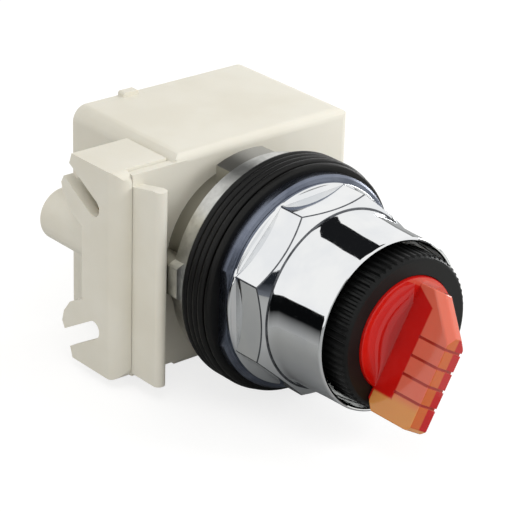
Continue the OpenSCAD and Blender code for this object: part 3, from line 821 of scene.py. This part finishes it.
def turn(name: str, outline: Outline, closed: bool = True, steps: int = 128) -> bpy.types.Object:
    """Draws an outline by extruding a point, and spins it round the operator axis.

    Args:
        name: Name of the new piece.
        outline: Radius and Y of each corner, in millimetres.
        closed: Whether the last corner joins the first. An outline that starts and ends on the
            axis stays open.
        steps: Number of steps round the axis.

    Returns:
        The turned piece, closed and facing outwards.
    """
    nothing_selected()
    (radius, y), rest = outline[0], outline[1:]
    bpy.ops.mesh.primitive_plane_add(size=MM, location=(radius * MM, y * MM, 0))
    piece = named(name)
    bpy.ops.object.mode_set(mode="EDIT")
    bpy.ops.mesh.select_mode(type="VERT")
    bpy.ops.mesh.select_all(action="SELECT")
    bpy.ops.mesh.merge(type="CENTER")
    for next_radius, next_y in rest:
        move = ((next_radius - radius) * MM, (next_y - y) * MM, 0)
        bpy.ops.mesh.extrude_vertices_move(TRANSFORM_OT_translate={"value": move})
        radius, y = next_radius, next_y
    if closed:
        drawn = bmesh.from_edit_mesh(piece.data)
        for vertex in drawn.verts:
            vertex.select_set(len(vertex.link_edges) == 1)
        bmesh.update_edit_mesh(piece.data)
        bpy.ops.mesh.edge_face_add()
    bpy.ops.mesh.select_all(action="SELECT")
    bpy.ops.mesh.spin(steps=steps, angle=2 * math.pi, center=(0, 0, 0), axis=(0, 1, 0))
    bpy.ops.mesh.select_all(action="SELECT")
    bpy.ops.mesh.remove_doubles(threshold=WELD_MM * MM)
    bpy.ops.mesh.normals_make_consistent(inside=False)
    bpy.ops.object.mode_set(mode="OBJECT")
    return piece


def block(name: str, low: Sequence[float], high: Sequence[float]) -> bpy.types.Object:
    """Adds a block between two corners, in millimetres."""
    nothing_selected()
    middle = [(a + b) / 2 * MM for a, b in zip(low, high)]
    bpy.ops.mesh.primitive_cube_add(size=1, location=middle)
    bpy.context.object.scale = [abs(b - a) * MM for a, b in zip(low, high)]
    return named(name)


def combine(piece: bpy.types.Object, other: bpy.types.Object, how: str) -> None:
    """Unites, cuts or intersects a piece with another, which is used up.

    Args:
        piece: The piece that stays.
        other: The piece that is used and then removed.
        how: UNION, DIFFERENCE or INTERSECT.
    """
    take(piece)
    modifier = piece.modifiers.new("combine", "BOOLEAN")
    modifier.object = other
    modifier.operation = how
    modifier.solver = "EXACT"
    bpy.ops.object.modifier_apply(modifier=modifier.name)
    bpy.data.objects.remove(other)


def round_edges(
    piece: bpy.types.Object,
    width_mm: float,
    above_deg: float = 30.0,
    segments: int = 3,
    finish_number: int = -1,
) -> None:
    """Rounds every edge sharper than an angle, then smooths the shading.

    Args:
        piece: The piece to finish.
        width_mm: Width of the rounding.
        above_deg: Edges that turn less than this stay as they are.
        segments: Number of steps across the rounding.
        finish_number: Material slot of the rounding; the faces' own if it is -1.
    """
    take(piece)
    modifier = piece.modifiers.new("round", "BEVEL")
    modifier.width = width_mm * MM
    modifier.segments = segments
    modifier.limit_method = "ANGLE"
    modifier.angle_limit = math.radians(above_deg)
    modifier.material = finish_number
    bpy.ops.object.modifier_apply(modifier=modifier.name)
    smooth(piece)


def smooth(piece: bpy.types.Object, above_deg: float = 34.0) -> None:
    """Shades a piece smooth, with sharp edges kept and normals that lean to the larger faces.

    Args:
        piece: The piece to shade.
        above_deg: Edges that turn more than this stay sharp.
    """
    take(piece)
    bpy.ops.object.shade_smooth_by_angle(angle=math.radians(above_deg))
    modifier = piece.modifiers.new("flat_faces", "WEIGHTED_NORMAL")
    modifier.keep_sharp = True
    modifier.weight = FLAT_FACE_WEIGHT
    bpy.ops.object.modifier_apply(modifier=modifier.name)


def merged_copy(node: bpy.types.Object, name: str, flat_deg: float = 1.0) -> bpy.types.Object:
    """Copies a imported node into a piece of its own, with its loose triangles joined up.

    Args:
        node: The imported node, which stays as it is.
        name: Name of the copy.
        flat_deg: Faces that meet at less than this angle become one.

    Returns:
        The copy, with faces in place of the flat fans of triangles.
    """
    take(node)
    bpy.ops.object.duplicate(linked=False)
    piece = bpy.context.object
    bpy.ops.object.parent_clear(type="CLEAR_KEEP_TRANSFORM")
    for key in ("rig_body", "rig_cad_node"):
        if key in piece:
            del piece[key]
    piece.name = name
    piece.data.name = name
    piece.data.materials.clear()
    bpy.ops.object.mode_set(mode="EDIT")
    bpy.ops.mesh.select_all(action="SELECT")
    bpy.ops.mesh.remove_doubles(threshold=COPY_WELD_MM * MM)
    bpy.ops.mesh.dissolve_limited(angle_limit=math.radians(flat_deg))
    bpy.ops.object.mode_set(mode="OBJECT")
    return piece


def finish_piece(
    piece: bpy.types.Object,
    material: bpy.types.Material | None,
    body: str,
    slot: str,
    *nodes: str,
) -> None:
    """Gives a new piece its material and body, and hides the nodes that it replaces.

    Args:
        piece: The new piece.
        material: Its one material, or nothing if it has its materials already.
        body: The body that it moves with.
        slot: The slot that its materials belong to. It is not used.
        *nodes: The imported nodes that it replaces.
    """
    if material:
        piece.data.materials.clear()
        piece.data.materials.append(material)
    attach(piece, body)
    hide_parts(*nodes)
    log.info("%s: %d faces, rides on %s", piece.name, len(piece.data.polygons), body)


# ---------------------------------------------------------------- sub-assemblies


@dataclass
class Knob:
    """The red lens with its lever handle. Sizes in millimetres.

    Attributes:
        disc_r: Radius of the lens disc.
        flange_r: Radius of the flange that the bezel ring traps.
        face_y: Y of the disc's front face.
        crest_y: Y of the lever's crest.
        seat_y: Y of the flange's front face.
        flange_t: Thickness of the flange.
        skirt_y: Y of the end of the skirt.
        thickness: Thickness of the lever.
        reach: Reach of the lever tip from the axis.
        back: Reach of the lever's sloping end on the other side of the axis.
        rest_deg: Lever angle from straight down at rest.
        grooves: How far along the lever each grip groove is.
    """

    disc_r: float = 10.6
    flange_r: float = 12.6
    face_y: float = -34.8
    crest_y: float = -45.4
    seat_y: float = -33.65
    flange_t: float = 1.1
    skirt_y: float = -26.8
    thickness: float = 4.6
    reach: float = 14.2
    back: float = 9.2
    rest_deg: float = 30.0
    grooves: tuple[float, ...] = (-0.9, 2.5, 5.9, 9.3)

    def disc(self) -> bpy.types.Object:
        """Turns the lens disc with its flange and skirt."""
        wall = 1.4
        hollow_y = self.face_y + 1.8
        edge = 0.3
        outline = [
            (0.0, self.face_y),
            (self.disc_r - edge, self.face_y),
            (self.disc_r - edge * 0.3, self.face_y + edge * 0.3),
            (self.disc_r, self.face_y + edge),
            (self.disc_r, self.seat_y),
            (self.flange_r, self.seat_y),
            (self.flange_r, self.seat_y + self.flange_t),
            (self.disc_r, self.seat_y + self.flange_t),
            (self.disc_r, self.skirt_y),
            (self.disc_r - wall, self.skirt_y),
            (self.disc_r - wall, hollow_y),
            (0.0, hollow_y),
        ]
        return turn("lens_disc", outline, closed=False)

    def lever(self) -> bpy.types.Object:
        """Cuts the lever from a block, rounds its edges and cuts its grip grooves."""
        half = self.thickness / 2
        base_y = self.face_y + 0.6
        lever = block("lever", (-half, self.crest_y, -self.reach), (half, base_y, self.back))
        tip_lean, crown, crown_x, roof_top_z = 0.8, 2.2, 0.8, 3.2
        roof_y, roof_z = -6.0, 10.8
        under_y = self.face_y - 1.1
        under_z = -self.disc_r + 0.2
        planes = (
            ((0, self.crest_y, roof_top_z), (0, roof_y, roof_z)),
            ((crown_x, self.crest_y, roof_top_z), (crown, roof_y, roof_z)),
            ((-crown_x, self.crest_y, roof_top_z), (-crown, roof_y, roof_z)),
            ((0, self.crest_y, tip_lean - self.reach), (0, -tip_lean, self.crest_y - under_y)),
            ((0, under_y, -self.reach), (0, self.reach + under_z, under_y - self.face_y + 0.2)),
        )
        take(lever)
        bpy.ops.object.mode_set(mode="EDIT")
        for point, normal in planes:
            bpy.ops.mesh.select_all(action="SELECT")
            bpy.ops.mesh.bisect(
                plane_co=[value * MM for value in point],
                plane_no=normal,
                use_fill=True,
                clear_outer=True,
            )
        bpy.ops.object.mode_set(mode="OBJECT")
        round_edges(lever, 0.28, segments=3)
        for cutter in self.groove_cutters():
            combine(lever, cutter, "DIFFERENCE")
        lever.rotation_euler = (0, math.radians(self.rest_deg), 0)
        take(lever)
        bpy.ops.object.transform_apply(location=True, rotation=True, scale=True)
        return lever

    def groove_cutters(self) -> list[bpy.types.Object]:
        """Makes the bars that cut the grip grooves across both sides and the crest."""
        half = self.thickness / 2
        deep, wide, long = 0.28, 0.5, 6.4
        cutters = []
        for number, along in enumerate(self.grooves):
            low_z, high_z = -along - wide / 2, -along + wide / 2
            for side in (-1, 1):
                inner, outer = side * (half - deep), side * (half + 1)
                cutters.append(
                    block(
                        f"groove_{number}_{side + 1}",
                        (min(inner, outer), self.crest_y - 1, low_z),
                        (max(inner, outer), self.crest_y + long, high_z),
                    )
                )
            cutters.append(
                block(
                    f"groove_{number}_crest",
                    (-half - 1, self.crest_y - 1, low_z),
                    (half + 1, self.crest_y + deep, high_z),
                )
            )
        return cutters

    def build(self) -> None:
        """Builds the lens as one piece and dresses it."""
        lens = self.disc()
        combine(lens, self.lever(), "UNION")
        lens.name = "red_lens"
        smooth(lens, 30.0)
        finish_piece(lens, LENS_RED.make(), "knob", "lens_red", "knob_lens")


@dataclass
class RingNut:
    """The chrome ring nut: an octagon behind and a smooth shroud in front.

    Attributes:
        flats: Width across the octagon's flats.
        rear_y: Y of the rear face.
        face_t: Depth of the round face behind the octagon.
        octagon_h: Depth of the octagon.
        edge: Width of the rounding on the octagon's edges.
        shroud_len: Length of the shroud.
        shroud_r: Radius of the shroud at its rim.
        thread_r: Radius of the bore in the octagon.
        bore_r: Radius of the bore in the shroud.
        turn_deg: How far the tightened octagon stops from square.
    """

    flats: float = 35.0
    rear_y: float = -9.0
    face_t: float = 0.9
    octagon_h: float = 7.4
    edge: float = 0.16
    shroud_len: float = 13.0
    shroud_r: float = 16.0
    thread_r: float = 15.08
    bore_r: float = 15.25
    turn_deg: float = 2.5

    def corner_r(self) -> float:
        """Returns the radius of the octagon's corners."""
        return self.flats / 2 / math.cos(math.radians(22.5))

    def octagon(self, finishes: Sequence[bpy.types.Material]) -> bpy.types.Object:
        """Makes the octagon, with the turned chamfer that scallops its front corners.

        Args:
            finishes: The finish of its faces and that of its rounded edges, which is painted dark
                reflection.

        Returns:
            The octagon.
        """
        corner = self.corner_r()
        front_y = self.rear_y - self.face_t - self.octagon_h
        nothing_selected()
        bpy.ops.mesh.primitive_cylinder_add(
            vertices=8,
            radius=corner * MM,
            depth=self.octagon_h * MM,
            location=(0, (front_y + self.octagon_h / 2) * MM, 0),
            rotation=(math.radians(90), math.radians(22.5 - self.turn_deg), 0),
        )
        prism = named("nut_octagon")
        root = self.flats / 2 - 0.6
        chamfer = turn(
            "nut_chamfer",
            [
                (0, front_y),
                (root, front_y),
                (corner + 0.6, front_y + self.octagon_h * 0.32),
                (corner + 0.6, front_y + self.octagon_h + 1),
                (0, front_y + self.octagon_h + 1),
            ],
            closed=False,
        )
        combine(prism, chamfer, "INTERSECT")
        for finish in finishes:
            prism.data.materials.append(finish)
        # The rounded edges take the second finish: painted dark reflection along the facet edges.
        round_edges(prism, self.edge, above_deg=28.0, segments=2, finish_number=1)
        return prism

    def shroud(self) -> bpy.types.Object:
        """Turns the shroud with the round face behind and the bore through both."""
        front_y = self.rear_y - self.face_t - self.octagon_h
        rim_y = front_y - self.shroud_len
        face_r = self.corner_r() + 0.1
        root = self.flats / 2 - 0.6
        step_y = self.rear_y - self.face_t
        outline = [
            (self.thread_r, self.rear_y),
            (face_r - 0.25, self.rear_y),
            (face_r - 0.07, self.rear_y - 0.07),
            (face_r, self.rear_y - 0.25),
            (face_r, step_y + 0.2),
            (face_r - 0.2, step_y - 0.1),
            (root - 0.4, step_y - 0.1),
            (root - 0.4, front_y + 0.3),
            (root - 0.1, front_y),
            (root - 0.28, front_y - 0.45),
            (root - 0.46, front_y - 1.1),
            (root - 0.56, front_y - 2.2),
            (self.shroud_r + 0.3, front_y - 3.6),
            (self.shroud_r + 0.16, front_y - 5.4),
            (self.shroud_r + 0.06, front_y - 8.0),
            (self.shroud_r, rim_y + 1.4),
            (self.shroud_r, rim_y + 0.5),
            (self.shroud_r, rim_y + 0.42),
            (self.shroud_r - 0.05, rim_y + 0.2),
            (self.shroud_r - 0.17, rim_y + 0.06),
            (self.shroud_r - 0.35, rim_y),
            (self.shroud_r - 0.5, rim_y + 0.05),
            (self.bore_r, rim_y + 0.3),
            (self.bore_r, front_y),
            (self.thread_r, front_y + 0.2),
        ]
        return turn("nut_shroud", outline, steps=160)

    def build(self) -> None:
        """Builds the nut as one piece and dresses it."""
        finishes = (CHROME.make(), CHROME_PAINTED_DARK_EDGE.make())
        nut = self.shroud()
        for finish in finishes:
            nut.data.materials.append(finish)
        octagon = self.octagon(finishes)
        bore = turn(
            "nut_bore",
            [(0, 0), (self.flats / 2 - 1.4, 0), (self.flats / 2 - 1.4, -30), (0, -30)],
            closed=False,
        )
        combine(octagon, bore, "DIFFERENCE")
        combine(nut, octagon, "UNION")
        nut.name = "chrome_nut"
        smooth(nut, 30.0)
        finish_piece(nut, None, "operator", "chrome", "ring_nut")


@dataclass
class MouldedShells:
    """The ivory mouldings: each node's own shape with its sharp edges softened.

    Attributes:
        corner_round: Radius of the housing's long corners on the right side.
        edges: Width of the rounding on each node's edges.
    """

    corner_round: float = 2.4
    edges: dict[str, float] = field(
        default_factory=lambda: {"module_housing": 0.25, "back_cover": 0.25, "terminal_block": 0.3}
    )

    def build(self, nodes: dict[str, bpy.types.Object]) -> None:
        """Copies each node, rounds it and dresses it.

        Args:
            nodes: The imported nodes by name.
        """
        material = IVORY.make()
        for name, width in self.edges.items():
            piece = merged_copy(nodes[name], f"ivory_{name}")
            if name == "module_housing":
                self.round_long_edges(piece)
            round_edges(piece, width, above_deg=40.0, segments=2)
            finish_piece(piece, material, "operator", "ivory_plastic", name)

    def round_long_edges(self, housing: bpy.types.Object) -> None:
        """Rounds the long corner edges on the housing's right side.

        Args:
            housing: The merged copy of the housing.
        """
        right, top, over = 27.0, 21.1, 0.05
        take(housing)
        bpy.ops.object.mode_set(mode="EDIT")
        bpy.ops.mesh.select_mode(type="EDGE")

        def is_long_corner(edge: Any) -> bool:
            """Tells whether an edge runs along Y on one of the two corners."""
            first, second = (vertex.co / MM for vertex in edge.verts)
            return all(
                abs(end.x - right) < over and abs(abs(end.z) - top) < over for end in (first, second)
            )

        select_edges(housing, is_long_corner)
        bpy.ops.mesh.bevel(offset=self.corner_round * MM, segments=6, affect="EDGES")
        bpy.ops.object.mode_set(mode="OBJECT")


@dataclass
class PackedNodes:
    """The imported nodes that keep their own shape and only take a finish."""

    def build(self, nodes: dict[str, bpy.types.Object]) -> None:
        """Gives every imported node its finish.

        Args:
            nodes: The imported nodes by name.
        """
        for finish, names in NODE_FINISHES.items():
            material = finish.make()
            for name in names:
                mesh = nodes[name].data
                if not mesh.materials:
                    mesh.materials.append(material)
                for number in range(len(mesh.materials)):
                    mesh.materials[number] = material
                log.info("%s: %s", name, finish.name)


# ---------------------------------------------------------------- studio


@dataclass
class Studio:
    """Floor, lamps, cards, surroundings and camera. Distances in millimetres.

    Attributes:
        azimuth_deg: Angle of the camera round the object; nought looks along +Y.
        elevation_deg: Angle of the camera above the horizon.
        roll_deg: Turn of the camera about its own axis.
        distance: Distance from the camera to the point it stands before.
        aside: How far the object's origin sits from the middle of the view, to the right and up.
        lens: Focal length for a 36 mm sensor.
        axis_shift_y: Small shift of the camera along Y.
        floor_z: Height of the floor.
        floor_white: Share of the floor that the camera sees as plain white.
    """

    azimuth_deg: float = -40.52
    elevation_deg: float = 24.59
    roll_deg: float = 1.73
    distance: float = 431.3
    aside: tuple[float, float] = (3.503, -1.730)
    lens: float = 168.0
    axis_shift_y: float = 0.2
    floor_z: float = -22.2
    floor_white: float = 0.62

    def camera(self) -> None:
        """Places the camera."""
        azimuth, elevation = math.radians(self.azimuth_deg), math.radians(self.elevation_deg)
        back = Vector(
            (
                math.sin(azimuth) * math.cos(elevation),
                -math.cos(azimuth) * math.cos(elevation),
                math.sin(elevation),
            )
        )
        level = (-back).cross(Vector((0, 0, 1))).normalized()
        upright = level.cross(-back)
        roll = math.radians(self.roll_deg)
        right = level * math.cos(roll) + upright * math.sin(roll)
        up = upright * math.cos(roll) - level * math.sin(roll)
        place = back * self.distance - right * self.aside[0] - up * self.aside[1]
        place.y += self.axis_shift_y
        data = bpy.data.cameras.new("camera")
        data.lens = self.lens
        data.sensor_width = 36.0
        data.clip_start = 0.01
        camera = bpy.data.objects.new("camera", data)
        bpy.context.scene.collection.objects.link(camera)
        turned = Matrix((right, up, back)).transposed().to_4x4()
        camera.matrix_world = Matrix.Translation(place * MM) @ turned
        bpy.context.scene.camera = camera

    def floor(self) -> None:
        """Lays the pale floor, white to the eye and still holding the object's shadow."""
        nothing_selected()
        bpy.ops.mesh.primitive_plane_add(size=4.0, location=(0, 0, self.floor_z * MM))
        floor = named("floor")
        material = bpy.data.materials.new("pale_floor")
        tree = empty_tree(material)
        mottle = add_node(tree, "ShaderNodeTexNoise", {"Scale": per_metre(40.0), "Detail": 2.0})
        tone = add_node(
            tree,
            "ShaderNodeMapRange",
            {"Value": mottle.outputs["Fac"], "To Min": 0.8, "To Max": 0.82},
        )
        path = add_node(tree, "ShaderNodeLightPath").outputs
        mirrored = Finish.blend(
            tree, path["Is Glossy Ray"], tone.outputs["Result"], srgb("#A8AAAC")
        )
        matt = add_node(tree, "ShaderNodeBsdfDiffuse", {"Color": mirrored})
        bright = add_node(tree, "ShaderNodeEmission", {"Strength": 1.25})
        share = maths(tree, "MULTIPLY", path["Is Camera Ray"], self.floor_white)
        mix = add_node(
            tree, "ShaderNodeMixShader", {0: share, 1: matt.outputs[0], 2: bright.outputs[0]}
        )
        add_node(tree, "ShaderNodeOutputMaterial", {"Surface": mix.outputs[0]})
        floor.data.materials.append(material)

    @staticmethod
    def seen(tree: Tree) -> Socket:
        """Returns one for camera, mirror and glass rays, and nought for light on surfaces."""
        path = add_node(tree, "ShaderNodeLightPath").outputs
        first = maths(tree, "MAXIMUM", path["Is Camera Ray"], path["Is Glossy Ray"])
        return maths(tree, "MAXIMUM", first, path["Is Transmission Ray"])

    def surroundings(self) -> None:
        """Sets an even soft world that looks white behind the object."""
        world = bpy.data.worlds.new("studio")
        bpy.context.scene.world = world
        tree = empty_tree(world)
        soft = add_node(tree, "ShaderNodeBackground", {"Color": srgb("#F8F6F1"), "Strength": 0.7})
        white = add_node(tree, "ShaderNodeBackground", {"Color": srgb("#FFFFFF"), "Strength": 1.0})
        mix = add_node(
            tree,
            "ShaderNodeMixShader",
            {0: self.seen(tree), 1: soft.outputs[0], 2: white.outputs[0]},
        )
        add_node(tree, "ShaderNodeOutputWorld", {"Surface": mix.outputs[0]})

    def lamp(
        self,
        name: str,
        place: Sequence[float],
        size: tuple[float, float],
        power: float,
        target: Sequence[float] = (0, -5, 0),
        mirrored: bool = False,
    ) -> None:
        """Adds one soft box that faces the object.

        Args:
            name: Name of the lamp.
            place: Where it stands, in millimetres.
            size: Its width and height, in millimetres.
            power: Its power in watts.
            target: The point it faces.
            mirrored: Whether polished surfaces show it.
        """
        data = bpy.data.lights.new(name, "AREA")
        data.shape = "RECTANGLE"
        data.size, data.size_y = size[0] * MM, size[1] * MM
        data.energy = power
        lamp = bpy.data.objects.new(name, data)
        bpy.context.scene.collection.objects.link(lamp)
        lamp.location = Vector(place) * MM
        aim = Vector(target) * MM - lamp.location
        lamp.rotation_euler = aim.to_track_quat("-Z", "Y").to_euler()
        lamp.visible_glossy = mirrored

    def card(
        self,
        name: str,
        corners: Sequence[Sequence[float]],
        dark: str,
        light: str,
        fade_from: float = 0.5,
    ) -> None:
        """Hangs a card that only polished surfaces mirror.

        Args:
            name: Name of the card.
            corners: Its corners in turn, in millimetres; the first two are its upper edge.
            dark: Colour of its upper part.
            light: Colour of its lower edge.
            fade_from: How far down, as a share, the dark part ends.
        """
        nothing_selected()
        bpy.ops.mesh.primitive_plane_add(size=1)
        card = named(name)
        order = (2, 3, 1, 0)
        for vertex, corner in zip(card.data.vertices, (corners[number] for number in order)):
            vertex.co = Vector(corner) * MM
        material = bpy.data.materials.new(name)
        tree = empty_tree(material)
        place = add_node(tree, "ShaderNodeTexCoord").outputs["Object"]
        height = add_node(tree, "ShaderNodeSeparateXYZ", {"Vector": place}).outputs["Z"]
        top, foot = corners[0][2] * MM, corners[2][2] * MM
        fall = add_node(
            tree,
            "ShaderNodeMapRange",
            {"Value": height, "From Min": top + (foot - top) * fade_from, "From Max": foot},
        )
        tone = Finish.blend(tree, fall.outputs["Result"], srgb(dark), srgb(light))
        glow = add_node(tree, "ShaderNodeEmission", {"Color": tone})
        add_node(tree, "ShaderNodeOutputMaterial", {"Surface": glow.outputs[0]})
        card.data.materials.append(material)
        card.visible_camera = False
        card.visible_diffuse = False
        card.visible_shadow = False
        card.visible_transmission = False

    def build(self) -> None:
        """Builds the whole studio."""
        self.camera()
        self.floor()
        self.surroundings()
        self.lamp("key_box", (-160, -160, 450), (260, 260), 0.4)
        self.lamp("left_box", (-420, 160, 160), (260, 260), 0.12)
        self.lamp("right_box", (330, -330, 300), (260, 260), 1.5)
        self.lamp("lens_spark", (384, 73, 45), (60, 170), 0.3, (2, -39, 4), mirrored=True)
        self.card(
            "upper_card",
            ((74, -26, 564), (250, -26, 510), (94, 532, -2), (-82, 532, 52)),
            "#1A1B1D",
            "#1A1B1D",
        )
        self.card(
            "front_card",
            ((-359, -302, 150), (-231, -408, 150), (-231, -408, -21), (-359, -302, -21)),
            "#24272C",
            "#6C7078",
        )
        self.card(
            "floor_card",
            ((15, -45, -21.5), (160, -60, -21.5), (280, -330, -22.0), (60, -300, -22.0)),
            "#F4F4F0",
            "#F4F4F0",
        )
        self.card(
            "left_card",
            ((-150, 330, 24), (-150, -20, 24), (-52, -20, -21.5), (-52, 330, -21.5)),
            "#0A0B0C",
            "#A9AAAA",
            fade_from=0.72,
        )


def main() -> None:
    """Builds every piece of the switch, and the studio round it."""
    logging.basicConfig(level=logging.INFO, format="%(message)s")
    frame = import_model()
    bpy.context.scene.view_settings.view_transform = "Standard"
    Studio().build()
    PackedNodes().build(frame["nodes"])
    MouldedShells().build(frame["nodes"])
    RingNut().build()
    Knob().build()
    nothing_selected()


if __name__ == "__main__":
    main()
